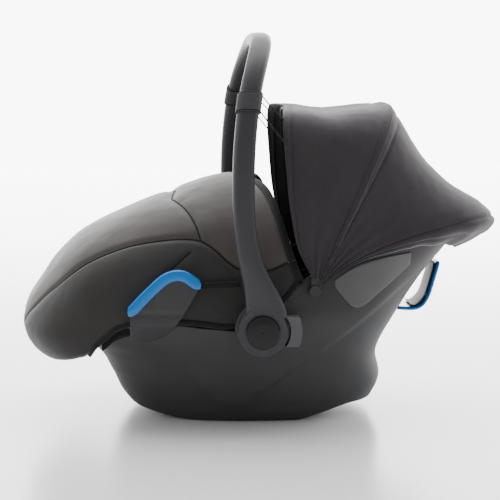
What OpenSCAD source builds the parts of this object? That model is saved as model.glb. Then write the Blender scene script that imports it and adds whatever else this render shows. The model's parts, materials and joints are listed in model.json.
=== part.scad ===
// Infant car seat: rocker shell, carry handle, folding canopy, padded foot cover and harness.
// Origin on the floor under the centre, +X to the head end, +Z up, millimetres.

/* [Shell] */

// Half-width of the shell at the rim
shell_half_w = 178; // [174:1:180]

// Wall thickness of the shell
shell_wall = 4; // [3:0.5:5]

// Height of the hollow between the rockers
channel_h = 12; // [4:1:16]

/* [Handle] */

// Height of the top of the handle above the floor
handle_top = 550; // [545:1:570]

// Distance from the middle to each handle arm
arm_y = 208; // [207:0.5:210]

// Thickness of the bar across the seat
bar_t = 22; // [16:1:22]

// Radius of the hub housings
hub_r = 34; // [30:1:36]

/* [Release buttons] */

// Travel of each release button
button_travel = 4; // [2:0.5:5]

/* [Canopy] */

// Width of the bow strips
bow_w = 8; // [6:1:9]

// Thickness of the canopy fabric
fabric_t = 2; // [1.5:0.25:2.5]

/* [Foot cover] */

// Thickness of the padded foot cover at the crest
pad_t = 12; // [8:1:14]

/* [Seat] */

// Thickness of the seat cover
cover_t = 8; // [5:1:9]

// Thickness of the foam liner
liner_t = 12; // [8:1:13]

// Width of the harness webbing
web_w = 34; // [25:1:38]

/* [Hidden] */

$fn = 48;

// Pivot of the handle, and pivot of the canopy
hub_x = -4;
hub_z = 144;
fold = [70, 195];

// Roundness of the shell seen from above: 2 is an ellipse, more is squarer
plan_n = 2.6;

// Shell outlines in profile, [height, distance from the middle]
front_line = [[0, 175], [30, 200], [60, 215], [95, 238], [115, 280], [140, 315], [160, 320]];
rear_line = [[0, 150], [25, 170], [50, 180], [90, 175], [140, 200], [200, 240], [260, 290], [300, 305]];

// Change in half-width with height, and height of the rim along the seat
side_line = [[0, -55], [20, -40], [100, -15], [145, 0], [170, 0], [300, -20]];
rim_line = [[-320, 145], [-200, 148], [-120, 148], [-80, 143], [-10, 143], [30, 180], [70, 210], [120, 240],
            [200, 265], [310, 290]];

// Flat stretch of the rockers, and how far the ends rise
flat_front = -95;
flat_rear = 50;
rocker_rise = 18;

// Belt guide along the top of each side lug, [place, height]
lug_line = [[-186, 170], [-160, 197], [-135, 218], [-112, 221], [-90, 207]];
lug_foot = 122;
lug_shoulder = 150;
lug_y = 190;

// Middle line of each handle arm, [height, place]
arm_line = [[145, -5], [175, 0], [255, -24], [350, -30], [460, -20], [550, 5]];
arm_w = 15.5;
arc_n = 3.4;

// Crest of the canopy in profile, from the tail up to the middle bow, and on to the front edge
rear_crest = [[290, 235], [330, 255], [347, 275], [330, 300], [280, 335], [235, 380], [190, 445]];
front_crest = [[190, 445], [110, 440], [40, 445], [15, 445]];
canopy_w = 185;

// Angle of the front hem against the turn from the crest to the pivot
front_hem = [[0, 97], [30, 100], [45, 103], [60, 108], [75, 112], [90, 100]];

// Foot cover sections from toe to chest: [base x, base z, crest x, crest z, half-width]
cover_rows = [[-240, 105, -262, 92, 150], [-236, 112, -310, 86, 160], [-230, 120, -345, 135, 166],
              [-218, 130, -310, 200, 171], [-200, 144, -270, 250, 175], [-160, 153, -185, 294, 178],
              [-100, 150, -90, 330, 178], [-40, 145, -42, 343, 175], [15, 170, -26, 343, 175],
              [48, 206, -12, 335, 175]];
cover_n = 2.5;

// Height of the seat along its middle
seat_line = [[-295, 142], [-210, 132], [-150, 108], [-60, 66], [0, 50], [50, 60], [120, 112], [200, 192],
             [250, 252]];

// Share of the shell's inner width that the seat cover fills
cover_share = [[-290, 0.78], [-205, 0.88], [100, 0.92], [200, 0.87], [250, 0.72]];

function spow(v, e) = sign(v) * pow(abs(v), e);
function mix(a, b, t) = a + (b - a) * t;
function ease(t) = let (q = min(1, max(0, t))) q * q * (3 - 2 * q);

// Smooth value at x on a list of [x, value] points
function span(x, t, i = 0) = i >= len(t) - 2 || x < t[i + 1][0] ? i : span(x, t, i + 1);
function slope(t, i) =
    let (a = t[max(0, i - 1)], b = t[min(len(t) - 1, i + 1)])
    (b[1] - a[1]) / (b[0] - a[0]);
function curve(x, t) =
    let (q = min(max(x, t[0][0]), t[len(t) - 1][0]), i = span(q, t),
         h = t[i + 1][0] - t[i][0], u = (q - t[i][0]) / h)
    mix(t[i][1], t[i + 1][1], ease(u)) + h * u * (1 - u) * (slope(t, i) * (1 - u) - slope(t, i + 1) * u);

// Smooth row at place u along a list of rows
function spline(p, u) =
    let (n = len(p) - 1, i = min(n - 1, floor(u)), f = u - i,
         a = p[max(0, i - 1)], b = p[i], c = p[i + 1], d = p[min(n, i + 2)])
    0.5 * (2 * b + (c - a) * f + (2 * a - 5 * b + 4 * c - d) * f * f + (3 * b - a - 3 * c + d) * f * f * f);

// Shell over a list of closed rings, with a fan across each end
module skin(rings) {
    n = len(rings[0]);
    m = len(rings);
    ends = [for (r = [rings[0], rings[m - 1]])
        [for (k = [0:2]) [for (p = r) p[k]] * [for (i = [1:n]) 1] / n]];
    sides = [for (j = [0:m - 2], i = [0:n - 1], k = [0:1])
        let (a = j * n + i, b = j * n + (i + 1) % n)
        k == 0 ? [a, b, b + n] : [a, b + n, a + n]];
    first = [for (i = [0:n - 1]) [n * m, (i + 1) % n, i]];
    last = [for (i = [0:n - 1]) [n * m + 1, (m - 1) * n + i, (m - 1) * n + (i + 1) % n]];
    polyhedron(concat([for (r = rings) for (p = r) p], ends), concat(sides, first, last), convexity = 8);
}

// Closed sheet between two grids of points, the first on the outside
module slab(top, low) {
    m = len(top);
    n = len(top[0]);
    k = m * n;
    e = (m - 1) * n;
    faces = concat(
        [for (i = [0:m - 2], j = [0:n - 2]) let (a = i * n + j) [a, a + 1, a + n + 1, a + n]],
        [for (i = [0:m - 2], j = [0:n - 2]) let (a = k + i * n + j) [a, a + n, a + n + 1, a + 1]],
        [for (i = [0:m - 2]) let (a = i * n) [a, a + n, k + a + n, k + a]],
        [for (i = [0:m - 2]) let (a = i * n + n - 1) [a + n, a, k + a, k + a + n]],
        [for (j = [0:n - 2]) [j + 1, j, k + j, k + j + 1]],
        [for (j = [0:n - 2]) let (a = e + j) [a, a + 1, k + a + 1, k + a]]);
    polyhedron(concat([for (r = top) for (p = r) p], [for (r = low) for (p = r) p]),
        [for (q = faces, t = [0:1]) t == 0 ? [q[0], q[1], q[2]] : [q[0], q[2], q[3]]], convexity = 8);
}

module y_cyl(x, z, r, y0, y1) {
    translate([x, y0, z])
        rotate([-90, 0, 0])
            cylinder(r = r, h = y1 - y0);
}

// Children on the left side for 1, on the right side for -1
module on_side(s) {
    if (s > 0) children();
    else mirror([0, 1, 0]) children();
}

// Flat ribbon of thickness t along a smooth line in profile, w wide across the seat
module ribbon(line, t, w, steps = 14) {
    n = len(line) - 1;
    p = [for (k = [0:steps]) spline(line, n * k / steps)];
    d = [for (k = [0:steps]) let (v = p[min(steps, k + 1)] - p[max(0, k - 1)]) [-v[1], v[0]] / norm(v)];
    translate([0, w / 2, 0])
        rotate([90, 0, 0])
            linear_extrude(w)
                polygon(concat([for (k = [0:steps]) p[k] - d[k] * t / 2],
                               [for (k = [steps:-1:0]) p[k] + d[k] * t / 2]));
}

// ---- Shell ----

function rocker(x) = rocker_rise * (pow(max(0, flat_front - x) / 95, 1.5) + ease((x - flat_rear) / 70));
function half_w(z) = shell_half_w + curve(z, side_line);
function shell_pt(a, z, inset, drop) =
    let (q = max(0, z - drop), c = cos(a), s = sin(a))
    [(curve(q, c > 0 ? rear_line : front_line) - inset) * spow(c, 2 / plan_n),
     (half_w(q) - inset) * spow(s, 2 / plan_n), z];
function rim_z(a) = let (c = cos(a)) curve((c > 0 ? 300 : 320) * spow(c, 2 / plan_n), rim_line);
// Half-width of the shell's outside at a place and height
function wall_y(x, z) =
    let (end = curve(z, x > 0 ? rear_line : front_line))
    half_w(z) * pow(1 - pow(min(0.98, abs(x) / end), plan_n), 1 / plan_n);

shell_n = 48;
wall_n = 12;
// Rings under and over the floor, [share of the plan, share of the channel height]
sole = [[0.01, 1], [0.35, 1], [0.66, 1], [0.72, 0], [0.97, 0]];
bottom = [[0.97, 0], [0.755, 0], [0.69, 1], [0.35, 1], [0.01, 1]];

function floor_ring(s, inset) = [for (i = [0:shell_n - 1])
    let (p = shell_pt(-i * 360 / shell_n, 0, inset, 0) * s[0])
    [p[0], p[1], rocker(p[0]) + s[1] * channel_h + inset]];
function wall_ring(t, inset) = [for (i = [0:shell_n - 1])
    let (a = -i * 360 / shell_n, b = rocker(shell_pt(a, 0, 0, 0)[0]) + inset)
    shell_pt(a, mix(b, rim_z(a), t), inset, inset)];

module shell_body() {
    skin(concat(
        [for (s = sole) floor_ring(s, 0)],
        [for (k = [0:wall_n]) wall_ring(k / wall_n, 0)],
        [for (k = [wall_n:-1:0]) wall_ring(k / wall_n, shell_wall)],
        [for (s = bottom) floor_ring(s, shell_wall)]));
}

// Side lug: it flares out from the wall at its foot and stands upright above its shoulder
function lug_grid(in) = [for (i = [0:12])
    let (x = mix(-185, -91, i / 12), top = curve(x, lug_line) - 1.5,
         low = mix(lug_foot, top - 6, pow(i / 12, 3)), root = wall_y(x, lug_foot) - 0.5)
    [for (j = [0:8])
        let (z = mix(low, top, j / 8), t = min(1, (z - lug_foot) / (lug_shoulder - lug_foot)))
        [x, mix(root, lug_y, t) - in * mix(0.4, 1, t), z]]];

module lug() {
    slab(lug_grid(7), lug_grid(0));
}

module outer_shell() {
    color([0.20, 0.20, 0.20])
        difference() {
            union() {
                shell_body();
                for (s = [-1, 1])
                    on_side(s) {
                        lug();
                        y_cyl(hub_x, hub_z, 37, shell_half_w - 2, 191);
                    }
            }
            for (s = [-1, 1])
                on_side(s) {
                    y_cyl(hub_x, hub_z, 9.05, 150, 200);
                    y_cyl(fold[0], fold[1], 5.06, 150, 200);
                }
        }
}

// Guide section along the lug, as a channel open downwards
function guide_at(k, h) =
    let (x = mix(-187, -89, k / 16), d = curve(x + 1, lug_line) - curve(x - 1, lug_line))
    [x, curve(x, lug_line)] + [-d, 2] / norm([d, 2]) * h;
module guide_shape(up, down) {
    polygon(concat([for (k = [0:16]) guide_at(k, up)], [for (k = [16:-1:0]) guide_at(k, -down)]));
}

module belt_guide(s) {
    color([0.0, 0.50, 0.80])
        on_side(s)
            difference() {
                translate([0, lug_y + 3, 0])
                    rotate([90, 0, 0])
                        linear_extrude(13)
                            guide_shape(5, 8);
                translate([0, lug_y + 0.3, 0])
                    rotate([90, 0, 0])
                        linear_extrude(7.6)
                            guide_shape(0.5, 40);
            }
}
module belt_guide_left() { belt_guide(1); }
module belt_guide_right() { belt_guide(-1); }

// Rear hook: its foot stands against the shell wall and it rises to an open top
hook_foot_z = 146;
hook_x = curve(hook_foot_z, rear_line) + 2.2;
hook_line = [[hook_x, hook_foot_z], [235, hook_foot_z], [250, 160], [260, 190], [267, 215]];
lining_line = [[226, 150.5], [234, 150.5], [246, 163.5], [255, 191], [261, 212]];

module rear_belt_hook() {
    color([0.0, 0.50, 0.80])
        ribbon(hook_line, 6, 64);
}
module rear_hook_lining() {
    color([0.04, 0.04, 0.04])
        ribbon(lining_line, 2, 60);
}

// Side label: rows of [place, lower edge, upper edge]
label_rows = [[98, 200, 208], [130, 168, 228], [170, 192, 238], [210, 224, 242]];

function label_grid(out) = [for (k = [0:8])
    let (q = spline(label_rows, 3 * k / 8))
    [for (j = [4:-1:0]) let (z = mix(q[1], q[2], j / 4)) [q[0], wall_y(q[0], z) + out, z]]];
module info_label(s) {
    color([0.34, 0.34, 0.34])
        on_side(s)
            slab(label_grid(2), label_grid(1.2));
}
module info_label_left() { info_label(1); }
module info_label_right() { info_label(-1); }

// ---- Handle ----

rise = handle_top - bar_t / 2 - hub_z;
bar_steps = 44;

// The bar is a squared arch across the seat that widens towards its hubs
function bar_half(z) = arm_w * (1 + exp(-pow((z - hub_z) / 65, 2)));
function bar_at(t) =
    let (a = mix(5.5, 174.5, t), c = cos(a), q = sin(a),
         g = pow(pow(abs(c) / arm_y, arc_n) + pow(q / rise, arc_n), -1 / arc_n), z = hub_z + g * q)
    [curve(z, arm_line), g * c, z];
function bar_ring(t, grow, n) =
    let (p = bar_at(t), d = bar_at(min(1, t + 0.004)) - bar_at(max(0, t - 0.004)),
         v = [0, -d[2], d[1]] / norm([0, d[2], d[1]]), w = bar_half(p[2]) + grow, h = bar_t / 2 + grow)
    [for (i = [0:n - 1]) let (a = i * 360 / n)
        p + [w * spow(cos(a), 0.75), 0, 0] + v * h * spow(sin(a), 0.75)];

module handle_bar() {
    color([0.30, 0.30, 0.31])
        difference() {
            skin([for (k = [0:bar_steps]) bar_ring(k / bar_steps, 0, 20)]);
            for (s = [-1, 1])
                on_side(s)
                    y_cyl(hub_x, hub_z, hub_r + 0.3, 180, 230);
            translate([-100, -260, 60])
                cube([200, 520, hub_z + 22 - 60]);
        }
}

module handle_hub(s) {
    color([0.30, 0.30, 0.31])
        on_side(s)
            difference() {
                y_cyl(hub_x, hub_z, hub_r, 191.5, 215.5);
                y_cyl(hub_x, hub_z, 9.05, 190, 212);
                y_cyl(hub_x, hub_z, 15, 211, 216);
            }
}
module handle_hub_left() { handle_hub(1); }
module handle_hub_right() { handle_hub(-1); }

module hub_cap(s) {
    color([0.05, 0.05, 0.05])
        on_side(s)
            translate([hub_x, 215.9, hub_z])
                rotate([-90, 0, 0])
                    rotate_extrude()
                        polygon([[0, 0], [23.5, 0], [23.5, 2.4], [22, 3.4], [12, 4], [0, 4.1]]);
}
module hub_cap_left() { hub_cap(1); }
module hub_cap_right() { hub_cap(-1); }

module pivot_pin(s) {
    color([0.62, 0.62, 0.64])
        on_side(s) {
            y_cyl(hub_x, hub_z, 9, 177, 212);
            y_cyl(hub_x, hub_z, 14, 212, 215);
        }
}
module pivot_pin_left() { pivot_pin(1); }
module pivot_pin_right() { pivot_pin(-1); }

module release_button(s) {
    color([0.40, 0.40, 0.40])
        on_side(s)
            difference() {
                intersection() {
                    y_cyl(hub_x, hub_z, hub_r + 20, 193, 212);
                    translate([hub_x, 190, hub_z - 21])
                        cube([60, 30, 42]);
                }
                hull() {
                    y_cyl(hub_x, hub_z, hub_r + 0.4, 190, 220);
                    y_cyl(hub_x + button_travel, hub_z, hub_r + 0.4, 190, 220);
                }
            }
}
module release_button_left() { release_button(1); }
module release_button_right() { release_button(-1); }

// Band round the bar between two places along it, open at both ends
module elastic_loop(s) {
    n = 24;
    t = [0.314, 0.335];
    r = [bar_ring(t[0], 0.5, n), bar_ring(t[0], 2.4, n), bar_ring(t[1], 2.4, n), bar_ring(t[1], 0.5, n)];
    color([0.13, 0.13, 0.13])
        on_side(s)
            polyhedron([for (q = r) for (p = q) p], [for (j = [0:3], i = [0:n - 1], k = [0:1])
                let (a = j * n + i, b = j * n + (i + 1) % n, c = (j + 1) % 4 * n)
                k == 0 ? [a, b, c + (i + 1) % n] : [a, c + (i + 1) % n, c + i]], convexity = 6);
}
module elastic_loop_left() { elastic_loop(1); }
module elastic_loop_right() { elastic_loop(-1); }

// ---- Canopy ----

// Crest points as [angle, radius] about the canopy pivot
function about_fold(line) = [for (p = line) let (d = p - fold) [atan2(d[1], d[0]), norm(d)]];
rear_polar = about_fold(rear_crest);
front_polar = about_fold(front_crest);
mid_a = front_polar[0][0];
mid_r = front_polar[0][1];
tail_a = rear_polar[0][0];
front_a = front_hem[0][1];

// Point of a rib at a turn f from the crest towards the pivot
function rib_pt(a, r, w, n, f) =
    let (c = cos(f), g = pow(pow(c / r, n) + pow(abs(sin(f)) / w, n), -1 / n))
    [fold[0] + cos(a) * g * c, g * sin(f), fold[1] + sin(a) * g * c];
function rear_hem(f) = tail_a + 33 * pow(f / 85, 1.7);
function rear_pt(u, f, d) =
    let (c = mix(mid_a, tail_a, u), a = mix(mid_a, rear_hem(abs(f)), u))
    rib_pt(a, curve(c, rear_polar) - d, canopy_w - d, mix(3.6, 3, u), f);
function front_pt(u, f, d) =
    let (c = mix(mid_a + 0.5, front_a, u), a = mix(mid_a + 0.5, curve(abs(f), front_hem), u))
    rib_pt(a, curve(c, front_polar) - d, canopy_w - d, mix(3.6, 8, u), f);

turn = [for (i = [0:24]) mix(-85, 85, i / 24)];
module canopy_rear_panel() {
    color([0.24, 0.22, 0.24])
        slab([for (i = [0:12]) [for (f = turn) rear_pt(i / 12, f, 0)]],
             [for (i = [0:12]) [for (f = turn) rear_pt(i / 12, f, fabric_t)]]);
}
module canopy_front_panel() {
    color([0.24, 0.22, 0.24])
        slab([for (i = [6:-1:0]) [for (f = turn) front_pt(i / 6, f, 0)]],
             [for (i = [6:-1:0]) [for (f = turn) front_pt(i / 6, f, fabric_t)]]);
}

// Bow: a thin strip in one rib plane that ends in an eye at each pivot
bow_t = 3;
module bow(a, r, w, n) {
    u = [-sin(a), 0, cos(a)] * bow_w / 2;
    difference() {
        union() {
            skin([for (k = [0:32])
                let (f = mix(-87.7, 87.7, k / 32), p = rib_pt(a, r, w, n, f),
                     q = rib_pt(a, r - bow_t, w - bow_t, n, f))
                [p + u, q + u, q - u, p - u]]);
            for (s = [-1, 1])
                on_side(s)
                    y_cyl(fold[0], fold[1], 8, w - bow_t, w);
        }
        for (s = [-1, 1])
            on_side(s)
                y_cyl(fold[0], fold[1], 5.06, 150, 200);
    }
}
module canopy_mid_bow() {
    color([0.10, 0.10, 0.10])
        bow(mid_a, mid_r - fabric_t - 5, 177.2, 3.4);
}
module canopy_front_bow() {
    color([0.10, 0.10, 0.10])
        bow(front_a - 1.5, front_polar[2][1] - fabric_t - 4, 181, 5);
}

module canopy_pin(s) {
    color([0.08, 0.08, 0.08])
        on_side(s) {
            y_cyl(fold[0], fold[1], 5, 166, 181.3);
            y_cyl(fold[0], fold[1], 8, 181.3, 183);
        }
}
module canopy_pin_left() { canopy_pin(1); }
module canopy_pin_right() { canopy_pin(-1); }

// ---- Foot cover ----

cover_last = len(cover_rows) - 1;
// How far the rear hem of the cover bows out between its crest and its corners
hem_bow = 12;
hem_way = [0.92, 0, 0.39];
cover_turn = [for (i = [0:24]) mix(-89.2, 89.2, i / 24)];
function cover_pt(u, f, d, e) =
    let (q = spline(cover_rows, u), v = [q[2] - q[0], 0, q[3] - q[1]], c = cos(f),
         g = pow(pow(c / (norm(v) - d), cover_n) + pow(abs(sin(f)) / (q[4] - e), cover_n), -1 / cover_n))
    [q[0], 0, q[1]] + v / norm(v) * g * c + [0, g * sin(f), 0]
        + hem_way * hem_bow * ease((u - 6) / 3) * pow(sin(2 * abs(f)), 2);

module footmuff() {
    rows = [for (i = [0:15]) cover_last * i / 15];
    color([0.36, 0.34, 0.33])
        slab([for (u = rows) [for (f = cover_turn) cover_pt(u, f, 0, 0)]],
             [for (u = rows) [for (f = cover_turn) cover_pt(u, f, min(pad_t, 4 + u * 2.2), 3.5)]]);
}

module footmuff_binding() {
    x = hem_way;
    color([0.05, 0.05, 0.05])
        skin([for (f = cover_turn)
            let (p = cover_pt(cover_last, f * 0.96, pad_t / 2, 1.8),
                 v = cover_pt(cover_last, f * 0.96, pad_t / 2 - 1, 0.8) - p)
            [for (i = [0:7]) p + x * (6 + 4.2 * cos(i * 45)) + v / norm(v) * 4 * sin(i * 45)]]);
}

// ---- Seat ----

// The bed dips along the middle and rises to the rim at both sides
function inner_w(x) =
    let (end = x < 0 ? 310 : curve(curve(x, rim_line), rear_line) - 8)
    (shell_half_w - 7) * pow(1 - pow(abs(x) / end, plan_n), 1 / plan_n);
function seat_z(x, y) =
    let (c = curve(x, seat_line))
    c + max(0, curve(x, rim_line) - 3 - c) * pow(min(1, abs(y) / inner_w(x)), 3.5);
bed_x = 24;
bed_y = 18;
function bed(i0, j0, off) = [for (i = [i0:bed_x])
    let (x = mix(-280, 250, i / bed_x), w = inner_w(x) * curve(x, cover_share))
    [for (j = [j0:bed_y - j0]) let (y = mix(-w, w, j / bed_y)) [x, y, seat_z(x, y) + off]]];

module seat_cover() {
    color([0.16, 0.16, 0.17])
        slab(bed(0, 0, 0), bed(0, 0, -cover_t));
}
module foam_liner() {
    color([0.85, 0.85, 0.85])
        slab(bed(4, 2, -cover_t - 0.7), bed(4, 2, -cover_t - 0.7 - liner_t));
}

// Head insert: two side wings that rise from a thin middle
head_x = [120, 235];
head_w = 72;
function head_t(x, y) =
    x < head_x[0] ? 0 : ease((x - head_x[0] + 5) / 15) * (10 + 22 * pow(min(1, abs(y) / head_w), 3));
function over(x, y, off) = [x, y, seat_z(x, y) + head_t(x, y) + off];
function head_grid(top) = [for (i = [0:12]) let (x = mix(head_x[0], head_x[1], i / 12))
    [for (j = [0:12]) let (y = mix(-head_w, head_w, j / 12))
        top ? over(x, y, 0) : [x, y, seat_z(x, y) + 2]]];

module head_insert() {
    color([0.30, 0.30, 0.31])
        slab(head_grid(true), head_grid(false));
}

// Strap or pad that lies on the seat from a to b, [place, middle], with half-width w
module strap(a, b, w, lift, thick, n = 10) {
    grid = [for (h = [lift + thick, lift]) [for (i = [0:n])
        let (p = mix(a, b, i / n))
        [for (j = [0:4]) over(p[0], p[1] + w * (1 - j / 2), h)]]];
    slab(grid[0], grid[1]);
}

module shoulder_strap(s) {
    color([0.07, 0.07, 0.08])
        on_side(s)
            strap([196, 34], [62, 17.5], web_w / 2 - 3, 1, 1.4, 16);
}
module shoulder_strap_left() { shoulder_strap(1); }
module shoulder_strap_right() { shoulder_strap(-1); }
module shoulder_pad(s) {
    color([0.16, 0.16, 0.17])
        on_side(s)
            strap([178, 32], [92, 21], 18.5, 3.2, 7, 12);
}
module shoulder_pad_left() { shoulder_pad(1); }
module shoulder_pad_right() { shoulder_pad(-1); }
module crotch_pad() {
    color([0.16, 0.16, 0.17])
        strap([-16, 0], [-72, 0], 25, 0.8, 8.5);
}
module crotch_strap() {
    color([0.07, 0.07, 0.08])
        strap([-13, 0], [-78, 0], web_w / 2, 9.8, 1.4);
}

buckle_z = 64;
module buckle_body() {
    color([0.06, 0.06, 0.06])
        difference() {
            hull()
                for (x = [-4, 26], y = [-17, 17])
                    translate([x, y, buckle_z])
                        cylinder(r = 7, h = 20);
            translate([0, -11, buckle_z + 8])
                cube([22, 22, 20]);
        }
}
module buckle_button() {
    color([0.75, 0.06, 0.05])
        translate([0.4, -10.6, buckle_z + 14])
            cube([21.2, 21.2, 7.5]);
}
module buckle_tongue(s) {
    color([0.62, 0.62, 0.64])
        on_side(s)
            difference() {
                translate([33.5, 2, buckle_z + 6])
                    cube([26, 26, 3]);
                translate([51, 5, buckle_z + 5])
                    cube([5, 20, 5]);
            }
}
module buckle_tongue_left() { buckle_tongue(1); }
module buckle_tongue_right() { buckle_tongue(-1); }

// Adjuster: the lever turns on a round pin held in the walls of its housing
lever_x = -136;
lever_z = 114.5;
module adjuster_housing() {
    color([0.06, 0.06, 0.06])
        difference() {
            translate([-142, -17, 106])
                cube([28, 34, 12]);
            translate([-139, -12.5, 110])
                cube([26, 25, 12]);
            y_cyl(lever_x, lever_z, 1.55, -16, 16);
        }
}
module adjuster_lever() {
    color([0.30, 0.30, 0.31]) {
        translate([lever_x, -12, 113])
            cube([24, 24, 3]);
        y_cyl(lever_x, lever_z, 2.2, -12, 12);
        y_cyl(lever_x, lever_z, 1.5, -15.5, 15.5);
    }
}
module adjuster_strap() {
    color([0.07, 0.07, 0.08])
        strap([-146, 0], [-212, 0], 12, 0.8, 1.4);
}

outer_shell();
belt_guide_left();
belt_guide_right();
rear_belt_hook();
rear_hook_lining();
info_label_left();
info_label_right();
handle_bar();
handle_hub_left();
handle_hub_right();
hub_cap_left();
hub_cap_right();
pivot_pin_left();
pivot_pin_right();
release_button_left();
release_button_right();
elastic_loop_left();
elastic_loop_right();
canopy_mid_bow();
canopy_front_bow();
canopy_pin_left();
canopy_pin_right();
canopy_rear_panel();
canopy_front_panel();
footmuff();
footmuff_binding();
foam_liner();
seat_cover();
head_insert();
shoulder_strap_left();
shoulder_strap_right();
shoulder_pad_left();
shoulder_pad_right();
crotch_pad();
crotch_strap();
buckle_body();
buckle_button();
buckle_tongue_left();
buckle_tongue_right();
adjuster_housing();
adjuster_lever();
adjuster_strap();
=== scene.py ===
import json
import math

import bmesh
import bpy
import numpy as np
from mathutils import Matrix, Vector, noise


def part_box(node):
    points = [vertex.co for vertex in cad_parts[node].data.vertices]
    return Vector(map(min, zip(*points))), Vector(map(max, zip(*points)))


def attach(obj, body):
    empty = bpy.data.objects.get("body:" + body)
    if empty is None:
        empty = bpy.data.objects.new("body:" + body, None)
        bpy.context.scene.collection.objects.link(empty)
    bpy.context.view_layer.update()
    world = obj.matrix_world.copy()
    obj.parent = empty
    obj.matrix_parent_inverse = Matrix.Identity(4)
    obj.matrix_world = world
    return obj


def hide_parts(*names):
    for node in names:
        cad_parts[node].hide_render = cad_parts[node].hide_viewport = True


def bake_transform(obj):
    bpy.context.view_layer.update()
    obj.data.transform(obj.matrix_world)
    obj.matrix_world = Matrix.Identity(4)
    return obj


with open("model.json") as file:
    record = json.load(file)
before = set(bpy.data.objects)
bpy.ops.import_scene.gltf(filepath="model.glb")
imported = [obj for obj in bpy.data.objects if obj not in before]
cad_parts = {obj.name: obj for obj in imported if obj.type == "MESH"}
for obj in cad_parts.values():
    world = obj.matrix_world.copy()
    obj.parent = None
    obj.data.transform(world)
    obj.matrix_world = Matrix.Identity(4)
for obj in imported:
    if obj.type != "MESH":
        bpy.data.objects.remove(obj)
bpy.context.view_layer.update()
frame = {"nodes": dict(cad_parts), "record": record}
NODES = frame["nodes"]

# ---------------------------------------------------------------- helpers

MM = 0.001
JOINTS = {j["name"]: j for j in frame["record"]["behaviour"]["joints"]}


def pivot_of(name):
    """Place and height of a joint's axis in millimetres."""
    x, _, z = JOINTS[name]["pos_m"]
    return x / MM, z / MM


HUB = pivot_of("handle_swing")
FOLD = pivot_of("canopy_fold")
HANDLE_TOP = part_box("handle_bar")[1][2] / MM
PLAN_N = 2.6


def curve(x, tab):
    """Smooth value at x on a list of [x, value] points."""
    px, py = np.asarray(tab, float).T
    k = np.arange(len(px))
    lo, hi = np.maximum(k - 1, 0), np.minimum(k + 1, len(px) - 1)
    slope = (py[hi] - py[lo]) / (px[hi] - px[lo])
    x = np.clip(x, px[0], px[-1])
    i = np.clip(np.searchsorted(px, x, side="right") - 1, 0, len(px) - 2)
    h = px[i + 1] - px[i]
    u = (x - px[i]) / h
    step = py[i] + (py[i + 1] - py[i]) * u * u * (3 - 2 * u)
    return step + h * u * (1 - u) * (slope[i] * (1 - u) - slope[i + 1] * u)


def ease(t):
    q = np.clip(t, 0, 1)
    return q * q * (3 - 2 * q)


def mix(a, b, t):
    return a + (b - a) * t


def smooth_rows(tab, count):
    """Smooth rows through the rows of a list, at count even steps."""
    t = np.asarray(tab, float)
    n = len(t)
    u = np.linspace(0, n - 1, count)
    i = np.clip(u.astype(int), 0, n - 2)
    f = (u - i)[:, None]
    a, b, c, d = t[np.clip(i - 1, 0, n - 1)], t[i], t[i + 1], t[np.clip(i + 2, 0, n - 1)]
    bend = (2 * a - 5 * b + 4 * c - d) * f ** 2 + (3 * b - a - 3 * c + d) * f ** 3
    return u, 0.5 * (2 * b + (c - a) * f + bend)


def spow(v, e):
    return np.sign(v) * np.abs(v) ** e


def bump_at(d, width):
    return np.exp(-(d / width) ** 2)


def wobble(p, scale, seed):
    """Smooth repeatable noise at every point of a grid, about -1 to 1."""
    q = p.reshape(-1, 3) * scale + seed
    return np.array([noise.noise(Vector(v)) for v in q]).reshape(p.shape[:-1])


def grid_normals(p):
    du = np.gradient(p, axis=0)
    dv = np.gradient(p, axis=1)
    n = np.cross(du, dv)
    return n / np.maximum(np.linalg.norm(n, axis=2, keepdims=True), 1e-9)


def make(name, verts, faces, mats, index=None, smooth=True):
    me = bpy.data.meshes.new(name)
    me.from_pydata([tuple(v) for v in np.asarray(verts) * MM], [], faces)
    for m in mats:
        me.materials.append(m)
    if index is not None:
        me.polygons.foreach_set("material_index", np.asarray(index, np.int32))
    me.validate()
    me.update()
    if smooth:
        me.polygons.foreach_set("use_smooth", [True] * len(me.polygons))
    o = bpy.data.objects.new(name, me)
    bpy.context.collection.objects.link(o)
    return o


def closed_faces(m, n):
    """Faces of a closed sheet between two m by n grids."""
    k = m * n
    faces = []
    for i in range(m - 1):
        for j in range(n - 1):
            a = i * n + j
            faces.append((a, a + 1, a + n + 1, a + n))
            faces.append((k + a, k + a + n, k + a + n + 1, k + a + 1))
    for i in range(m - 1):
        a, b = i * n, i * n + n - 1
        faces.append((a, a + n, k + a + n, k + a))
        faces.append((b + n, b, k + b, k + b + n))
    for j in range(n - 1):
        e = (m - 1) * n + j
        faces.append((j + 1, j, k + j, k + j + 1))
        faces.append((e, e + 1, k + e + 1, k + e))
    return faces


def sheet_mesh(name, top, low, mats, mask=None):
    """A closed sheet between two grids of points, with a material number for each cell in mask."""
    m, n = top.shape[:2]
    v = np.concatenate([top.reshape(-1, 3), low.reshape(-1, 3)])
    faces = closed_faces(m, n)
    index = np.zeros(len(faces), int)
    if mask is not None:
        index[: 2 * (m - 1) * (n - 1)] = np.repeat(np.asarray(mask, int).ravel(), 2)
    return make(name, v, faces, mats, index)


def ring_faces(rings, sides):
    """Side faces between closed rings of points."""
    faces = []
    for i in range(rings - 1):
        for j in range(sides):
            k = (j + 1) % sides
            faces.append((i * sides + j, i * sides + k, (i + 1) * sides + k, (i + 1) * sides + j))
    return faces


def end_faces(rings, sides):
    """Faces that close the first and the last ring."""
    last = (rings - 1) * sides
    return [tuple(range(sides - 1, -1, -1)), tuple(last + j for j in range(sides))]


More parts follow.
